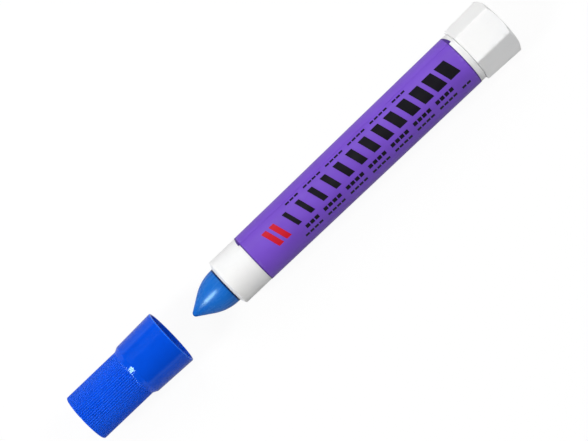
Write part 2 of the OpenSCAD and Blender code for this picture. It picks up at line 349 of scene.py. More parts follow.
# %% [markdown]
# The cap is moulded in a deep, clean blue with a soft gloss, and its grip is satin from handling.
# Fingers rub the tops of the ribs first, so those are a little paler, in patches. Along the thin outer
# edge of the lip a paler line is painted as a highlight, with a little rubbing wear in it. The surface
# also has the very fine waviness that moulded plastic shows in its highlights. Such marks could be
# painted by hand, but rules on place and radius follow the ribs and the lip exactly.

# %% Blue cap plastic
BLUE_GLOSS = (0.60, 1.0, 1.0, 1)
DEEP_BLUE = (0.0006, 0.072, 0.68, 1)
CLEAN_BLUE = (0.0010, 0.084, 0.76, 1)
RUBBED_BLUE = (0.004, 0.115, 0.84, 1)
LIP_HIGHLIGHT_BLUE = (0.016, 0.18, 1.0, 1)
RIB_TOP_R = 8.67 * MM
RIB_ROOT_R = 8.45 * MM
RUB_DEPTH = 0.07 * MM
GRIP_X = CAP_HIGH.x - 16.1 * MM
GRIP_SATIN = 0.16

cap_plastic, tree, shader, place = start_finish("cap_plastic")
along = place_along(tree, place)
radius = place_out(tree, place)
colour = drifting(tree, place, 70, DEEP_BLUE, CLEAN_BLUE)
on_grip = maths(tree, "LESS_THAN", along, GRIP_X)
on_crest = ramp(tree, radius, RIB_TOP_R - RUB_DEPTH, RIB_TOP_R)
in_patches = ramp(tree, cloud(tree, place, 260), 0.45, 0.65, 0.0, 0.3)
colour = blend(tree, times(tree, on_grip, on_crest, in_patches), colour, RUBBED_BLUE)
# Painted highlight: a paler blue line round the outer edge of the lip.
at_mouth = ramp(tree, along, CAP_HIGH.x - 0.42 * MM, CAP_HIGH.x - 0.24 * MM)
at_rim = ramp(tree, radius, LIP_OUT_R - 0.20 * MM, LIP_OUT_R - 0.06 * MM)
colour = blend(tree, times(tree, at_mouth, at_rim), colour, LIP_HIGHLIGHT_BLUE)
streaks = cloud(tree, stretched(tree, place, (60, 900, 900)), 1.0, 4)
polish = ramp(tree, streaks, 0.35, 0.75, 0.10, 0.14)
fill(tree, shader, {
    "Base Color": colour,
    "Roughness": maths(tree, "MULTIPLY_ADD", on_grip, GRIP_SATIN, polish),
    "Specular IOR Level": 0.30,
    "Specular Tint": BLUE_GLOSS,
})
relief(tree, shader, cloud(tree, place, 300, 2), 0.004 * MM, 0.10)
print("made", cap_plastic.name)

# %% [markdown]
# Solid paint is a waxy crayon: light goes a short way into it, its gloss is soft, and the mould and the
# mouth leave faint lengthwise drag marks. A plain blue gloss would look like plastic, so a little
# subsurface light, stretched noise along the stick and a few small pits are added. Where the stick
# slides out of the mouth, a thin dark ring is painted round it as shade under the barrel's edge.

# %% Waxy blue paint
WAX_BLUE = (0.0085, 0.145, 0.57, 1)
PALE_WAX_BLUE = (0.0105, 0.160, 0.63, 1)
DRAGGED_BLUE = (0.03, 0.21, 0.72, 1)
RIM_SHADE_BLUE = (0.002, 0.016, 0.10, 1)

solid_paint, tree, shader, place = start_finish("solid_paint")
along = place_along(tree, place)
drag = cloud(tree, stretched(tree, place, (70, 1100, 1100)), 1.0, 4, 0.6)
colour = drifting(tree, place, 120, WAX_BLUE, PALE_WAX_BLUE)
colour = blend(tree, ramp(tree, drag, 0.55, 0.8, 0.0, 0.25), colour, DRAGGED_BLUE)
# Painted shade: a thin dark ring on the stick just where it leaves the mouth.
ring_front = ramp(tree, along, MOUTH_X - 0.70 * MM, MOUTH_X - 0.40 * MM)
ring_back = ramp(tree, along, MOUTH_X + 0.05 * MM, MOUTH_X + 0.35 * MM, 1.0, 0.0)
colour = blend(tree, times(tree, ring_front, ring_back), colour, RIM_SHADE_BLUE)
fill(tree, shader, {
    "Base Color": colour,
    "Roughness": ramp(tree, drag, 0.3, 0.8, 0.25, 0.31),
    "Subsurface Weight": 0.15,
    "Subsurface Radius": (0.3, 0.6, 1.0),
    "Subsurface Scale": 0.6 * MM,
    "Specular IOR Level": 0.28,
    "Specular Tint": BLUE_GLOSS,
})
pits = ramp(tree, cloud(tree, place, 1500, 2), 0.28, 0.36)
surface = maths(tree, "ADD", times(tree, drag, 0.5), times(tree, pits, 0.5))
relief(tree, shader, surface, 0.012 * MM, 0.4)
print("made", solid_paint.name)

# %% [markdown]
# The barrel and the knob are white moulded plastic with a satin skin. White is never one flat value:
# it drifts a little between warm and cool, picks up grey scuffs where it rubs on a bench, and has a
# fine mould texture. The barrel and the knob share one recipe, but the knob's plastic is milkier,
# which softens its corners, and those corners, which the bench and the fingers touch, are scuffed
# more.

# %% White plastics
SCUFF_GREY = (0.50, 0.50, 0.51, 1)
SCRATCH_SHARE = 0.05


def white_plastic(name, whiteness, milkiness, scuff_from, scuff_to, scuff_share):
    """Satin white plastic that lets some light through and is scuffed between two radii."""
    material, tree, shader, place = start_finish(name)
    cool = (0.98 * whiteness, 0.985 * whiteness, 0.99 * whiteness, 1)
    warm = (1.02 * whiteness, 1.015 * whiteness, whiteness, 1)
    colour = drifting(tree, place, 60, cool, warm)
    scratch = cloud(tree, stretched(tree, place, (180, 2600, 2600)), 1.0, 3)
    scratch = ramp(tree, scratch, 0.62, 0.72, 0.0, SCRATCH_SHARE)
    patch = ramp(tree, cloud(tree, place, 330, 4, 0.65), 0.5, 0.68, 0.0, scuff_share)
    worn = times(tree, ramp(tree, place_out(tree, place), scuff_from, scuff_to), patch)
    fill(tree, shader, {
        "Base Color": blend(tree, maths(tree, "ADD", worn, scratch), colour, SCUFF_GREY),
        "Roughness": ramp(tree, cloud(tree, place, 450), 0.3, 0.7, 0.32, 0.44),
        "Specular IOR Level": 0.3,
        "Subsurface Weight": milkiness,
        "Subsurface Radius": (1.0, 0.98, 0.95),
        "Subsurface Scale": 4 * MM,
    })
    relief(tree, shader, cloud(tree, place, 4200, 2), 0.005 * MM, 0.5)
    print("made", name)
    return material


barrel_plastic = white_plastic(
    "barrel_plastic", 0.90, 0.05, NOSE_R - 0.1 * MM, NOSE_R + 0.05 * MM, 0.08
)
knob_plastic = white_plastic("knob_plastic", 0.94, 0.22, 9.9 * MM, 10.4 * MM, 0.25)

# %% [markdown]
# The pieces inside the barrel are moulded in natural, undyed plastic, which is milky and slightly cool.
# A thin film of grease from the screw shows as warmer, glossier patches. They are seen when the gap in
# front of the knob or the mouth is looked into.

# %% Natural inner plastic
COOL_NATURAL = (0.74, 0.755, 0.77, 1)
PALE_NATURAL = (0.80, 0.81, 0.815, 1)
GREASE_TINT = (0.70, 0.66, 0.55, 1)

inner_plastic, tree, shader, place = start_finish("inner_plastic")
greasy = ramp(tree, cloud(tree, place, 420, 4), 0.5, 0.66)
colour = drifting(tree, place, 150, COOL_NATURAL, PALE_NATURAL)
fill(tree, shader, {
    "Base Color": blend(tree, times(tree, greasy, 0.4), colour, GREASE_TINT),
    "Roughness": ramp(tree, greasy, 0.0, 1.0, 0.55, 0.25),
    "Subsurface Weight": 0.1,
    "Subsurface Scale": 0.8 * MM,
})
relief(tree, shader, cloud(tree, place, 2600, 3), 0.01 * MM, 0.5)
print("made", inner_plastic.name)

# %% [markdown]
# The label is a violet film wrapped round the barrel, with black and red print. The print is drawn by
# the material itself, from the place along the barrel and the angle round it, so that it is sharp
# from near and needs no picture. It is a plain graphic of its own: a row of slanted bars that grow
# thicker, thin broken rules above and below, and two red stripes in front.

# %% Print helpers
PRINT_R = 8.9 * MM
PRINT_TURN = -VIEW_LEAN
DASH_PITCH = 1.9 * MM
DASH_SHARE = 0.78
GROUP_PITCH = 5 * DASH_PITCH
GROUP_SHARE = 0.79


def within(tree, value, low, high):
    """1 where a value lies between two limits, and 0 elsewhere."""
    above = maths(tree, "GREATER_THAN", value, low)
    return times(tree, above, maths(tree, "LESS_THAN", value, high))


def first_share(tree, value, pitch, share):
    """1 in the first share of every pitch, and 0 in the rest of it."""
    step = maths(tree, "FRACT", maths(tree, "DIVIDE", value, pitch))
    return maths(tree, "LESS_THAN", step, share)


def broken_rule(tree, along, around, middle, height, start, end):
    """A thin printed rule that is broken into groups of four dashes."""
    row = within(tree, around, middle - height / 2, middle + height / 2)
    span = within(tree, along, start, end)
    dash = first_share(tree, along, DASH_PITCH, DASH_SHARE)
    group = first_share(tree, along, GROUP_PITCH, GROUP_SHARE)
    return times(tree, row, span, dash, group)


print("print is centred", round(math.degrees(PRINT_TURN), 1), "degrees from the top")

# %% [markdown]
# Places in the print are lengths along the barrel from its mouth, and lengths round it from the
# middle of the print. A bar or a stripe is a span of the length along, measured on a slant. Each rule
# is given by its middle, its height, its start and its end.

# %% Ink on the label
PRINT_TOP = 3.8 * MM
PRINT_SLANT = 0.28
BARS_FROM, BARS_TO, BARS_LOW = 28.4 * MM, 98.6 * MM, -2.2 * MM
BAR_PITCH = 5.4 * MM
FIRST_BAR_SHARE = 0.3
BAR_GROWTH = 0.04
STRIPES_FROM, STRIPE_WIDTH, STRIPES_LOW = (19.6 * MM, 22.8 * MM), 2.0 * MM, -2.9 * MM
RULES = (
    (5.6 * MM, 0.7 * MM, 30.2 * MM, 81.5 * MM),
    (-4.5 * MM, 1.3 * MM, 30.2 * MM, 94 * MM),
    (-7.0 * MM, 0.9 * MM, 28.4 * MM, 98.5 * MM),
)

label_film, tree, shader, place = start_finish("label_film")
axial = place_along(tree, place)
along = maths(tree, "SUBTRACT", axial, MOUTH_X)
from_middle = maths(tree, "SUBTRACT", place_round(tree, place), PRINT_TURN)
around = times(tree, from_middle, PRINT_R)
leaning = maths(tree, "MULTIPLY_ADD", around, PRINT_SLANT, along)

bar_place = maths(tree, "DIVIDE", maths(tree, "SUBTRACT", leaning, BARS_FROM), BAR_PITCH)
bar_number = maths(tree, "FLOOR", bar_place)
bar_share = maths(tree, "MULTIPLY_ADD", bar_number, BAR_GROWTH, FIRST_BAR_SHARE)
bars = maths(tree, "LESS_THAN", maths(tree, "FRACT", bar_place), bar_share)
bar_span = within(tree, leaning, BARS_FROM, BARS_TO)
black_ink = times(tree, bars, bar_span, within(tree, around, BARS_LOW, PRINT_TOP))
for rule in RULES:
    black_ink = maths(tree, "MAXIMUM", black_ink, broken_rule(tree, along, around, *rule))

stripes = [within(tree, leaning, start, start + STRIPE_WIDTH) for start in STRIPES_FROM]
red_ink = times(tree, maths(tree, "ADD", *stripes), within(tree, around, STRIPES_LOW, PRINT_TOP))
print("print of", round((BARS_TO - BARS_FROM) / BAR_PITCH), "bars and", len(RULES), "rules")

# %% [markdown]
# The film under the print is violet with a soft gloss. Its colour is built up in the order in which it
# came about: the film first, then the black and the red ink, then the ends, where the ink is rubbed a
# little thinner in spots. Last, a thin dark line is painted along each cut edge as shade. The black ink
# could be a layer of its own, but it is far too thin to model, so it is raised as a bump, together with
# the slight ripple of the film.

# %% Violet printed film
DEEP_VIOLET = (0.176, 0.071, 0.55, 1)
CLEAN_VIOLET = (0.196, 0.082, 0.61, 1)
BLACK_INK = (0.007, 0.006, 0.010, 1)
RED_INK = (0.60, 0.008, 0.022, 1)
THIN_INK = (0.62, 0.55, 0.78, 1)
EDGE_SHADE_VIOLET = (0.040, 0.014, 0.15, 1)
INK_HEIGHT = 0.04

colour = drifting(tree, place, 80, DEEP_VIOLET, CLEAN_VIOLET)
colour = blend(tree, black_ink, colour, BLACK_INK)
colour = blend(tree, red_ink, colour, RED_INK)
from_front = maths(tree, "SUBTRACT", axial, LABEL_FRONT)
from_back = maths(tree, "SUBTRACT", LABEL_BACK, axial)
from_end = maths(tree, "MINIMUM", from_front, from_back)
near_end = ramp(tree, from_end, 0.4 * MM, 1.6 * MM, 1.0, 0.0)
in_spots = ramp(tree, cloud(tree, place, 900, 4), 0.5, 0.62, 0.0, 0.09)
colour = blend(tree, times(tree, near_end, in_spots), colour, THIN_INK)
# Painted shade: a thin dark line along both cut ends of the film.
edge_shade = ramp(tree, from_end, 0.25 * MM, 0.45 * MM, 0.8, 0.0)
fill(tree, shader, {
    "Base Color": blend(tree, edge_shade, colour, EDGE_SHADE_VIOLET),
    "Roughness": ramp(tree, cloud(tree, place, 300), 0.3, 0.7, 0.30, 0.42),
    "Specular IOR Level": 0.22,
})
ripple = cloud(tree, stretched(tree, place, (90, 320, 320)), 1.0, 2)
relief(tree, shader, maths(tree, "MULTIPLY_ADD", black_ink, INK_HEIGHT, ripple), 0.05 * MM, 0.35)
print("made", label_film.name)

# %% [markdown]
# Turned pieces start as a single point. The point is pushed out along half of the piece's section,
# one extrude for each place on it, and the finished line is spun once round the axis. It is what a
# lathe does, and it gives clean rings and columns that can be picked by their place afterwards. A
# cylinder could be cut into loops and scaled instead, but here every edge is where the section has
# it. Sections are written as places along the axis and radii.

# %% Turning helpers
TURN = 2 * math.pi
MERGE_GAP = 0.0005 * MM


def arc(centre, radius, start, end, steps):
    """Points of a rounded edge in a section. Angles in degrees turn from +X to the outside."""
    turns = [math.radians(start + (end - start) * step / steps) for step in range(steps + 1)]
    x, r = centre
    return [(x + radius * math.cos(turn), r + radius * math.sin(turn)) for turn in turns]


def draw_section(name, section):
    """Push one point along a section that lies above the axis, and stay in edit mode."""
    bpy.ops.object.select_all(action="DESELECT")
    bpy.ops.mesh.primitive_plane_add(size=MM, location=(0, 0, 0))
    piece = bpy.context.object
    piece.name = name
    piece.data.name = name
    bpy.ops.object.mode_set(mode="EDIT")
    bpy.ops.mesh.select_mode(type="VERT")
    bpy.ops.mesh.merge(type="CENTER")
    places = [Vector((x, 0, AXIS_Z + radius)) for x, radius in section]
    bpy.ops.transform.translate(value=places[0])
    for last, place in zip(places, places[1:]):
        bpy.ops.mesh.extrude_region_move(TRANSFORM_OT_translate={"value": place - last})
    return piece


def close_up():
    """Merge doubled points of the mesh in edit mode and turn its faces outwards."""
    bpy.ops.mesh.select_all(action="SELECT")
    bpy.ops.mesh.remove_doubles(threshold=MERGE_GAP)
    bpy.ops.mesh.normals_make_consistent(inside=False)


def turned(name, section, columns):
    """Turn a section once round the axis, and stay in edit mode."""
    piece = draw_section(name, section)
    bpy.ops.mesh.select_all(action="SELECT")
    bpy.ops.mesh.spin(
        steps=columns, angle=TURN, center=AXIS_POINT, axis=(1, 0, 0), use_auto_merge=True
    )
    close_up()
    return piece


def pick(piece, wanted):
    """In edit mode, select the points whose place answers to a question, and count them."""
    mesh = bmesh.from_edit_mesh(piece.data)
    found = 0
    for point in mesh.verts:
        chosen = wanted(point.co)
        point.select_set(chosen)
        found += chosen
    mesh.select_flush_mode()
    bmesh.update_edit_mesh(piece.data)
    return found


def widen(share):
    """Move the picked points out from the axis, or in."""
    bpy.ops.transform.resize(value=(1, share, share), center_override=AXIS_POINT)


def radius_of(place):
    """Distance of a place from the axis."""
    return math.hypot(place.y, place.z - AXIS_Z)


def turn_of(place):
    """Angle of a place about the axis, from the top towards +Y."""
    return math.atan2(place.y, place.z - AXIS_Z)


print("turning helpers ready")

# %% [markdown]
# Some shapes are joined on or cut out with another solid, by a Boolean modifier. A finished piece is
# shaded and gets its finish. It is attached to the body that it moves with, and the imported piece that
# it stands for is hidden.

# %% Joining and finishing helpers
def make_active(piece):
    """Select one piece alone, as the one that operators work on."""
    bpy.ops.object.select_all(action="DESELECT")
    piece.select_set(True)
    bpy.context.view_layer.objects.active = piece


def apply_modifier(piece, name, kind, **settings):
    """Add a modifier with its settings, and apply it."""
    modifier = piece.modifiers.new(name, kind)
    for setting, value in settings.items():
        setattr(modifier, setting, value)
    make_active(piece)
    bpy.ops.object.modifier_apply(modifier=name)


def combine(piece, tool, operation):
    """Join or cut a piece with another shape, which is used up."""
    settings = {"object": tool, "operation": operation, "solver": "EXACT"}
    apply_modifier(piece, operation.lower(), "BOOLEAN", **settings)
    bpy.data.objects.remove(tool)


def bar_on_axis(name, start, end, half_y, half_z):
    """A bar along the axis, between two places on it, with its place in its mesh."""
    low = Vector((start, -half_y, AXIS_Z - half_z))
    high = Vector((end, half_y, AXIS_Z + half_z))
    bpy.ops.object.select_all(action="DESELECT")
    bpy.ops.mesh.primitive_cube_add(size=1, location=(low + high) / 2)
    made = bpy.context.object
    made.name = name
    made.scale = high - low
    bpy.ops.object.transform_apply(location=True, rotation=True, scale=True)
    return made


def settle(piece, body, node, finish, smooth_to):
    """Shade a finished piece, give it its finish and put it in its body's place."""
    make_active(piece)
    bpy.ops.object.shade_smooth_by_angle(angle=math.radians(smooth_to))
    piece.data.materials.clear()
    piece.data.materials.append(finish)
    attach(piece, body)
    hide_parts(node)
    print(piece.name, "has", len(piece.data.polygons), "faces")


print("joining and finishing helpers ready")

# %% [markdown]
# The cap is one moulding: a closed grip, a sloping step up to a wider skirt, and a mouth that flares
# slightly and ends in a rounded lip. Inside, a seat fits the barrel's nose and a narrower well keeps
# the paint from drying. The whole wall is one section, from the middle of the closed end, out along
# the outside, over the lip and back down the inside. Tubes joined with Booleans would do too, but one
# section gives one closed skin without seams.

# %% Cap body
CAP_END_X = CAP_LOW.x
CAP_MOUTH_X = CAP_HIGH.x
END_EDGE = 0.12 * MM
RIB_COUNT = 70
RIB_COLUMNS = 6
RIB_START_X = CAP_END_X + END_EDGE + 0.02 * MM
RIB_RINGS = (0.0, 0.1 * MM, 0.2 * MM, 8.0 * MM, 16.0 * MM)
WIDE_R = 9.47 * MM
STEP_MIDDLE_X = CAP_MOUTH_X - 15.6 * MM
STEP_BLEND_R = 1.1 * MM
STEP_ANGLE = 26
LIP_IN_R = LIP_OUT_R - 0.8 * MM
LIP_EDGE = 0.3 * MM
SEAT_R = 8.67 * MM
SEAT_END_X = CAP_MOUTH_X - 13 * MM
WELL_R = 7.35 * MM
WELL_END_X = CAP_END_X + 1.4 * MM

step_slope = math.tan(math.radians(STEP_ANGLE))
step_half = math.tan(math.radians(STEP_ANGLE / 2)) * STEP_BLEND_R
step_half += (WIDE_R - RIB_ROOT_R) / step_slope / 2
step_front = (STEP_MIDDLE_X - step_half, RIB_ROOT_R + STEP_BLEND_R)
step_back = (STEP_MIDDLE_X + step_half, WIDE_R - STEP_BLEND_R)
crest_end_x = STEP_MIDDLE_X - ((RIB_ROOT_R + WIDE_R) / 2 - RIB_TOP_R) / step_slope

cap_section = [(CAP_END_X, 0), (CAP_END_X, 2.5 * MM), (CAP_END_X, 5 * MM)]
cap_section += arc((CAP_END_X + END_EDGE, RIB_ROOT_R - END_EDGE), END_EDGE, 180, 90, 6)
cap_section += [(RIB_START_X + ring, RIB_ROOT_R) for ring in RIB_RINGS]
cap_section += arc(step_front, STEP_BLEND_R, -90, STEP_ANGLE - 90, 5)
cap_section += [(crest_end_x, RIB_TOP_R)]
cap_section += arc(step_back, STEP_BLEND_R, STEP_ANGLE + 90, 90, 7)
cap_section += arc((CAP_MOUTH_X - LIP_EDGE, LIP_OUT_R - LIP_EDGE), LIP_EDGE, 90, 0, 5)
cap_section += arc((CAP_MOUTH_X - LIP_EDGE, LIP_IN_R + LIP_EDGE), LIP_EDGE, 0, -90, 5)
cap_section += [(SEAT_END_X, SEAT_R), (SEAT_END_X, WELL_R)]
cap_section += [(WELL_END_X, WELL_R), (WELL_END_X, 3.5 * MM), (WELL_END_X, 0)]
cap = turned("blue_cap", cap_section, RIB_COUNT * RIB_COLUMNS)
print("cap section of", len(cap_section), "points")

# %% [markdown]
# The grip has 70 fine ribs. Joining on 70 thin bars would be slow and would leave seams. The cap was
# spun with six columns of points for each rib, so the ribs need no new geometry: on each ring of the
# grip, three columns in each six are pulled out to the crest and the two beside them half way. The
# ring at the closed end stays down, which gives the ribs short sloping ends there, and at the other
# end the crests run on into the step until the step is as high as they are.

# %% Cap ribs
SAME_RING = 0.001 * MM
RING_PLAY = 0.01 * MM
CREST_COLUMNS = (-1, 0.22)
FLANK_COLUMNS = (0.28, 0.40)


def rib_offset(place):
    """Distance of a place from the middle of the nearest rib, as a share of the pitch."""
    share = turn_of(place) * RIB_COUNT / TURN
    return abs(share - round(share))


def on_ring(place, ring_x, columns):
    """Whether a place is outside on one ring of the cap, in some columns of a rib."""
    outside = radius_of(place) > RIB_ROOT_R - 0.1 * MM
    near, far = columns
    return outside and abs(place.x - ring_x) < SAME_RING and near < rib_offset(place) < far


for ring_x, ring_r in cap_section:
    below_crest = RIB_ROOT_R - RING_PLAY < ring_r < RIB_TOP_R
    if below_crest and ring_x > RIB_START_X + RING_PLAY:
        crest = RIB_TOP_R / ring_r
        pick(cap, lambda place: on_ring(place, ring_x, CREST_COLUMNS))
        widen(crest)
        pick(cap, lambda place: on_ring(place, ring_x, FLANK_COLUMNS))
        widen((1 + crest) / 2)
        crest_height = round((RIB_TOP_R - ring_r) / MM, 3)
        print("ring at", round(ring_x / MM, 2), "mm has crests", crest_height, "mm high")
bpy.ops.object.mode_set(mode="OBJECT")
settle(cap, "cap", "cap", cap_plastic, 50)

# %% [markdown]
# The stick of paint has a bullet nose: a rounded shoulder, a straight flank and a small ball at the
# tip, each running smoothly into the next. Behind the mouth it goes straight back to its holder, and
# a bore up its middle leaves room for the screw. A stretched ball could stand for the nose, but it
# would be too full at the sides, so the whole stick is one more turned section.

# %% Paint stick
STICK_R = (STICK_HIGH.y - STICK_LOW.y) / 2
LAND_X = MOUTH_X - 0.6 * MM
BALL_R = 1.1 * MM
BALL_X = STICK_LOW.x + BALL_R
BORE_R = 3.2 * MM
BORE_FRONT = MOUTH_X + 2 * MM
FLANK_ANGLE = 33
flank = math.radians(FLANK_ANGLE)
flank_front = LAND_X - BALL_X + BALL_R * math.sin(flank)
flank_rise = math.tan(flank) * flank_front + BALL_R * math.cos(flank) - STICK_R
SHOULDER_R = flank_rise * math.cos(flank) / (1 - math.cos(flank))

stick_section = arc((BALL_X, 0), BALL_R, 180, 90 + FLANK_ANGLE, 8)
stick_section += arc((LAND_X, STICK_R - SHOULDER_R), SHOULDER_R, 90 + FLANK_ANGLE, 90, 26)
for share in (0.1, 0.3, 0.6, 1.0):
    stick_section.append((LAND_X + (STICK_HIGH.x - LAND_X) * share, STICK_R))
stick_section += [(STICK_HIGH.x, BORE_R), (BORE_FRONT, BORE_R), (BORE_FRONT, 0)]
stick = turned("blue_paint_stick", stick_section, 96)
bpy.ops.object.mode_set(mode="OBJECT")
settle(stick, "paint", "paint_stick", solid_paint, 40)

# %% [markdown]
# The barrel is a tube that widens slightly from the nose to the rear. Its front face slopes back from
# the mouth to a rounded rim, the mouth guides the stick, and the rear end has a chamfer and a recess
# for the end plug's flange. Its section is a closed loop, so it ends where it began. Two keyways
# along the bore, which keep the holder from turning, can't be turned on a lathe, so they are cut
# afterwards with a flat bar.

# %% Barrel
MOUTH_R = STICK_R + 0.1 * MM
MOUTH_END_X = MOUTH_X + 11 * MM
TUBE_R = 7.5 * MM
TUBE_X = MOUTH_X + 11.9 * MM
FLANGE_R = 8.2 * MM
FLANGE_X = REAR_X - 1.4 * MM
RIM_R = 0.3 * MM
RIM_MIDDLE = (MOUTH_X + 1.0 * MM, NOSE_R - RIM_R)
REAR_CHAMFER = 0.25 * MM
CHAMFER_X = REAR_X - REAR_CHAMFER
KEY_HALF = 1.2 * MM
KEY_REACH = 8.0 * MM


def cone_radius(x):
    """Outside radius of the barrel behind its nose."""
    return NOSE_R + (REAR_R - NOSE_R) * (x - NOSE_END) / (REAR_X - NOSE_END)


barrel_section = [(MOUTH_X, MOUTH_R)]
barrel_section += arc(RIM_MIDDLE, RIM_R, 150, 90, 6)
barrel_section += [(NOSE_END, NOSE_R)]
for share in (0.25, 0.5, 0.75):
    ring_x = NOSE_END + (REAR_X - NOSE_END) * share
    barrel_section.append((ring_x, cone_radius(ring_x)))
barrel_section += [(CHAMFER_X, cone_radius(CHAMFER_X)), (REAR_X, REAR_R - REAR_CHAMFER)]
barrel_section += [(REAR_X, FLANGE_R), (FLANGE_X, FLANGE_R), (FLANGE_X, TUBE_R)]
barrel_section += [(TUBE_X, TUBE_R), (MOUTH_END_X, MOUTH_R), (MOUTH_X, MOUTH_R)]
barrel = turned("white_barrel", barrel_section, 128)
bpy.ops.object.mode_set(mode="OBJECT")
key_bar = bar_on_axis("key_bar", TUBE_X, FLANGE_X, KEY_HALF, KEY_REACH)
combine(barrel, key_bar, "DIFFERENCE")
settle(barrel, "barrel", "barrel", barrel_plastic, 40)

# %% [markdown]
# The label is a strip of film wound once round the barrel and lapped over itself by about a tenth of
# a turn. A plain tube could stand for it, but the lapped edge is what shows that it is film. So it is
# made the way it is wound: a line of points along the barrel is swept backwards round the axis,
# climbs onto its own first layer, and runs on to the free edge.

# %% Label film
FILM_T = 0.08 * MM
GLUE_T = 0.03 * MM
LAP_FREE = math.radians(36)
LAP_START = math.radians(69)
CLIMB = math.radians(6)
CLIMB_HEIGHT = 0.085 * MM
FILM_RINGS = 30
LIFT = 1 + CLIMB_HEIGHT / ((NOSE_R + REAR_R) / 2)
HALF_LIFT = (1 + LIFT) / 2


def wind(angle, steps):
    """Sweep the film's leading edge backwards round the axis."""
    bpy.ops.mesh.spin(steps=steps, angle=-angle, center=AXIS_POINT, axis=(1, 0, 0))


film_line = []
for ring in range(FILM_RINGS + 1):
    ring_x = LABEL_FRONT + (LABEL_BACK - LABEL_FRONT) * ring / FILM_RINGS
    film_line.append((ring_x, cone_radius(ring_x) + GLUE_T))
label = draw_section("printed_label", film_line)
bpy.ops.mesh.select_all(action="SELECT")
bpy.ops.transform.rotate(value=LAP_START, orient_axis="X", center_override=AXIS_POINT)
wind(TURN - CLIMB, 118)
for lift in (HALF_LIFT, LIFT / HALF_LIFT):
    wind(CLIMB / 2, 1)
    widen(lift)
wind(LAP_START - LAP_FREE, 11)
print("film wound with", len(bmesh.from_edit_mesh(label.data).verts), "points")

# %% [markdown]
# The free edge of the film was stuck down a little askew, so its corners stand out past the ends of
# the label. Pulling those corners with proportional editing drags the film near them along, as real
# film would go. Solidify then gives the film its thickness.

# %% Askew corners of the label
FRONT_PULL = -0.5 * MM
BACK_PULL = 0.9 * MM
PULL_REACH = 6 * MM


def on_free_corner(place, end_x):
    """Whether a place is the corner of the film's free edge at one end."""
    near_end = abs(place.x - end_x) < 0.01 * MM
    on_edge = abs(turn_of(place) - LAP_FREE) < math.radians(0.5)
    return near_end and on_edge and radius_of(place) > cone_radius(end_x) + GLUE_T + 0.04 * MM


for end_x, pull in ((LABEL_FRONT, FRONT_PULL), (LABEL_BACK, BACK_PULL)):
    corner_points = pick(label, lambda place: on_free_corner(place, end_x))
    bpy.ops.transform.translate(
        value=(pull, 0, 0),
        use_proportional_edit=True,
        proportional_edit_falloff="SMOOTH",
        proportional_size=PULL_REACH,
        use_proportional_connected=True,
    )
    print("pulled", corner_points, "corner by", round(pull / MM, 2), "mm")
bpy.ops.mesh.select_all(action="SELECT")
bpy.ops.mesh.normals_make_consistent(inside=False)
bpy.ops.object.mode_set(mode="OBJECT")
apply_modifier(label, "film_thickness", "SOLIDIFY", thickness=FILM_T, offset=1.0)
settle(label, "barrel", "label", label_film, 40)

# %% [markdown]
# The knob is a hexagon that grows slightly towards its end. Its corners are rounded, and a shallow
# chamfer turned round the end cuts across the flats, so each flat ends in an arch. A hexagonal prism
# could be cut by a cone, but the cut would leave long thin faces that shade badly. So the knob is
# spun as a round blank with many columns, and gets its flats afterwards.

# %% Knob blank
FLAT_R = (KNOB_HIGH.z - KNOB_LOW.z) / 2
FLAT_FRONT_R = FLAT_R - 0.4 * MM
KNOB_COLUMNS = 432
CHAMFER_SLOPE = math.tan(math.radians(30))
END_X = KNOB_HIGH.x
END_FLAT_R = 9.06 * MM
EDGE_X = END_X - (FLAT_R - END_FLAT_R) * CHAMFER_SLOPE
GUARD_X, GUARD_R = EDGE_X - 1.5 * MM, FLAT_R - 0.045 * MM
RIM_X = KNOB_LOW.x - 0.2 * MM
POCKET_R = FLAT_FRONT_R - 1.6 * MM
POCKET_X = END_X - 1.8 * MM
SOCKET_R = 4.13 * MM

knob_section = [(END_X, 0), (END_X, 3 * MM), (END_X, 6 * MM), (END_X, END_FLAT_R)]
knob_section += [(EDGE_X, FLAT_R), (GUARD_X, GUARD_R), (RIM_X, FLAT_FRONT_R)]
knob_section += [(RIM_X, POCKET_R), (POCKET_X, POCKET_R), (POCKET_X, SOCKET_R)]
knob_section += [(KNOB_LOW.x, SOCKET_R), (KNOB_LOW.x, 0)]
knob = turned("white_knob", knob_section, KNOB_COLUMNS)
print("knob blank", round((END_X - KNOB_LOW.x) / MM, 2), "mm long")

# %% [markdown]
# Each column of the blank is moved out to the radius that a rounded hexagon has at its angle. Where a
# column moves out, the chamfer's edge moves forward with it, and that makes the arches. A guard ring
# beside the edge moves forward too, so that the flats shade evenly. A small bevel then softens the
# edges, as moulded edges are, so that they catch the light.

# %% Knob flats, rounded corners and arched chamfer
SIXTH = TURN / 6
CORNER_FILLET = 0.78 * MM
WALL_FROM_R = 6.5 * MM
SOFT_EDGE = 0.18 * MM


def facet_column(place):
    """Number of columns between a place and the middle of its flat."""
    turn = turn_of(place) / SIXTH
    return round(abs(turn - round(turn)) * SIXTH * KNOB_COLUMNS / TURN)


def hexagon_radius(turn):
    """Radius of a hexagon with rounded corners, at an angle from the middle of a flat."""
    flat_end = math.atan((FLAT_R - CORNER_FILLET) * math.tan(SIXTH / 2) / FLAT_R)
    if turn < flat_end:
        return FLAT_R / math.cos(turn)
    to_corner = SIXTH / 2 - turn
    centre = (FLAT_R - CORNER_FILLET) / math.cos(SIXTH / 2)
    aside = centre * math.sin(to_corner)
    return centre * math.cos(to_corner) + math.sqrt(CORNER_FILLET**2 - aside**2)


def on_wall(place):
    """Whether a place is on the knob's outside flats or on its pocket's wall."""
    return radius_of(place) > WALL_FROM_R and place.x < END_X - 0.05 * MM


def at_end_edge(place):
    """Whether a place is on the ring of the chamfer's edge or on the guard ring beside it."""
    near_edge = place.x > EDGE_X - 2.4 * MM and radius_of(place) > FLAT_R - 0.2 * MM
    return near_edge and on_wall(place)


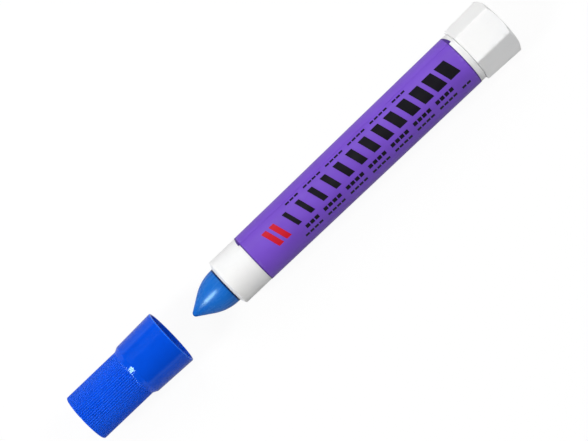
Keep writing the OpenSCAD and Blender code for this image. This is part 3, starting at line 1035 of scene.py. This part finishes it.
for column in range(KNOB_COLUMNS // 12 + 1):
    reach = hexagon_radius(column * TURN / KNOB_COLUMNS)
    pick(knob, lambda place: on_wall(place) and facet_column(place) == column)
    widen(reach / FLAT_R)
    pick(knob, lambda place: at_end_edge(place) and facet_column(place) == column)
    bpy.ops.transform.translate(value=((FLAT_R - reach) * CHAMFER_SLOPE, 0, 0))
bpy.ops.object.mode_set(mode="OBJECT")
edge_limit = {"limit_method": "ANGLE", "angle_limit": math.radians(24)}
apply_modifier(knob, "soft_edges", "BEVEL", width=SOFT_EDGE, segments=3, **edge_limit)
print("knob corner radius", round(hexagon_radius(SIXTH / 2) / MM, 3), "mm")

# %% [markdown]
# The knob is hollow, as mouldings of this size are, so that it cools evenly. A round socket in the
# middle takes the square tail of the screw, and six thin webs tie the socket to the flats. They are
# seen from the barrel's side only, through the gap. Each bar that is joined on crosses the axis, so
# three bars make the six webs. The square hole is cut last.

# %% Knob webs and socket
WEB_HALF = 0.5 * MM
WEB_REACH = POCKET_R + 0.4 * MM
WEB_FRONT = KNOB_LOW.x + 2.5 * MM
WEB_BACK = POCKET_X + 0.3 * MM
HOLE_HALF = 2.03 * MM
HOLE_BACK = KNOB_LOW.x + 9.1 * MM
for number in range(3):
    web = bar_on_axis("web", WEB_FRONT, WEB_BACK, WEB_HALF, WEB_REACH)
    bpy.ops.object.mode_set(mode="EDIT")
    bpy.ops.mesh.select_all(action="SELECT")
    bpy.ops.transform.rotate(
        value=number * SIXTH, orient_axis="X", center_override=AXIS_POINT
    )
    bpy.ops.object.mode_set(mode="OBJECT")
    combine(knob, web, "UNION")
hole = bar_on_axis("socket", KNOB_LOW.x - MM, HOLE_BACK, HOLE_HALF, HOLE_HALF)
combine(knob, hole, "DIFFERENCE")
settle(knob, "feed_knob", "knob", knob_plastic, 35)

# %% [markdown]
# The feed screw is a moulded spindle with a coarse thread. The thread rises 4 mm for each turn and is
# left handed, so that turning the knob forwards winds the stick out. A profile swept along a spiral
# curve could make it, but the Screw modifier keeps the rise exact and welds the turns together. Two
# teeth of the thread's edge are drawn about the world's own X line, because the modifier winds about
# the object's origin, and the object is then moved to the marker's axis.

# %% Feed screw thread
SCREW_R = 3.0 * MM
ROOT_R = 2.45 * MM
LEAD = 4.0 * MM
TEETH = 2
TOOTH = ((0.0, 0.0), (0.18, 0.0), (0.38, 1.0), (0.62, 1.0), (0.82, 0.0))
COLLAR_FRONT = PLUG_FRONT - 1.75 * MM
COLLAR_BACK = PLUG_FRONT - 0.15 * MM
THREAD_FRONT = SCREW_LOW.x + 1.2 * MM
THREAD_TURNS = math.ceil((COLLAR_FRONT - THREAD_FRONT) / LEAD) + 2

thread_line = []
for tooth in range(TEETH):
    for share, rise in TOOTH:
        radius = ROOT_R + (SCREW_R - ROOT_R) * rise
        thread_line.append(((tooth + share) * LEAD / TEETH, radius - AXIS_Z))
thread_line.append((LEAD, ROOT_R - AXIS_Z))
screw = draw_section("natural_feed_screw", thread_line)
bpy.ops.object.mode_set(mode="OBJECT")
screw.location = (THREAD_FRONT - LEAD, 0, AXIS_Z)
apply_modifier(
    screw, "winding", "SCREW", axis="X", angle=-TURN, screw_offset=LEAD, iterations=THREAD_TURNS,
    steps=36, render_steps=36, use_merge_vertices=True, merge_threshold=0.001 * MM,
)
bpy.ops.object.transform_apply(location=True, rotation=True, scale=True)
print("thread of", THREAD_TURNS, "turns")

# %% [markdown]
# The ends of the thread are cut square and filled. A turned core with the thrust collar and the
# journal, and a square tail with bevelled edges, are then joined on, because neither has the thread's
# winding section.

# %% Feed screw ends, core and tail
CORE_R = 2.3 * MM
TIP_R = 1.7 * MM
TIP_L = 0.7 * MM
COLLAR_R = 5.5 * MM
COLLAR_EDGE = 0.2 * MM
JOURNAL_EDGE = 0.1 * MM
TAIL_HALF = 2 * MM
TAIL_START = KNOB_LOW.x - 0.5 * MM

bpy.ops.object.mode_set(mode="EDIT")
for cut_x, keep_back in ((THREAD_FRONT, True), (COLLAR_FRONT + COLLAR_EDGE, False)):
    bpy.ops.mesh.select_all(action="SELECT")
    bpy.ops.mesh.bisect(
        plane_co=(cut_x, 0, AXIS_Z), plane_no=(1, 0, 0), use_fill=True,
        clear_inner=keep_back, clear_outer=not keep_back,
    )
close_up()
bpy.ops.object.mode_set(mode="OBJECT")

core_section = [(SCREW_LOW.x, 0), (SCREW_LOW.x, TIP_R), (SCREW_LOW.x + TIP_L, CORE_R)]
core_section += [(COLLAR_FRONT, CORE_R), (COLLAR_FRONT, COLLAR_R - COLLAR_EDGE)]
core_section += [(COLLAR_FRONT + COLLAR_EDGE, COLLAR_R), (COLLAR_BACK - COLLAR_EDGE, COLLAR_R)]
core_section += [(COLLAR_BACK, COLLAR_R - COLLAR_EDGE), (COLLAR_BACK, SCREW_R)]
core_section += [(KNOB_LOW.x - JOURNAL_EDGE, SCREW_R), (KNOB_LOW.x, SCREW_R - JOURNAL_EDGE)]
core_section += [(KNOB_LOW.x, 0)]
core = turned("core", core_section, 48)
bpy.ops.object.mode_set(mode="OBJECT")
combine(screw, core, "UNION")
tail = bar_on_axis("tail", TAIL_START, SCREW_HIGH.x, TAIL_HALF, TAIL_HALF)
apply_modifier(tail, "tail_edges", "BEVEL", width=0.2 * MM, segments=2)
combine(screw, tail, "UNION")
settle(screw, "feed_knob", "feed_screw", inner_plastic, 35)

# %% [markdown]
# The stick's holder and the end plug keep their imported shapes, which are already right, and only take
# the natural plastic's finish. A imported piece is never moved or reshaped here.

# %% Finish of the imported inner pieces
for node in ("stick_holder", "end_plug"):
    for slot in frame["nodes"][node].material_slots:
        slot.material = inner_plastic
    print(node, "keeps its packed shape")
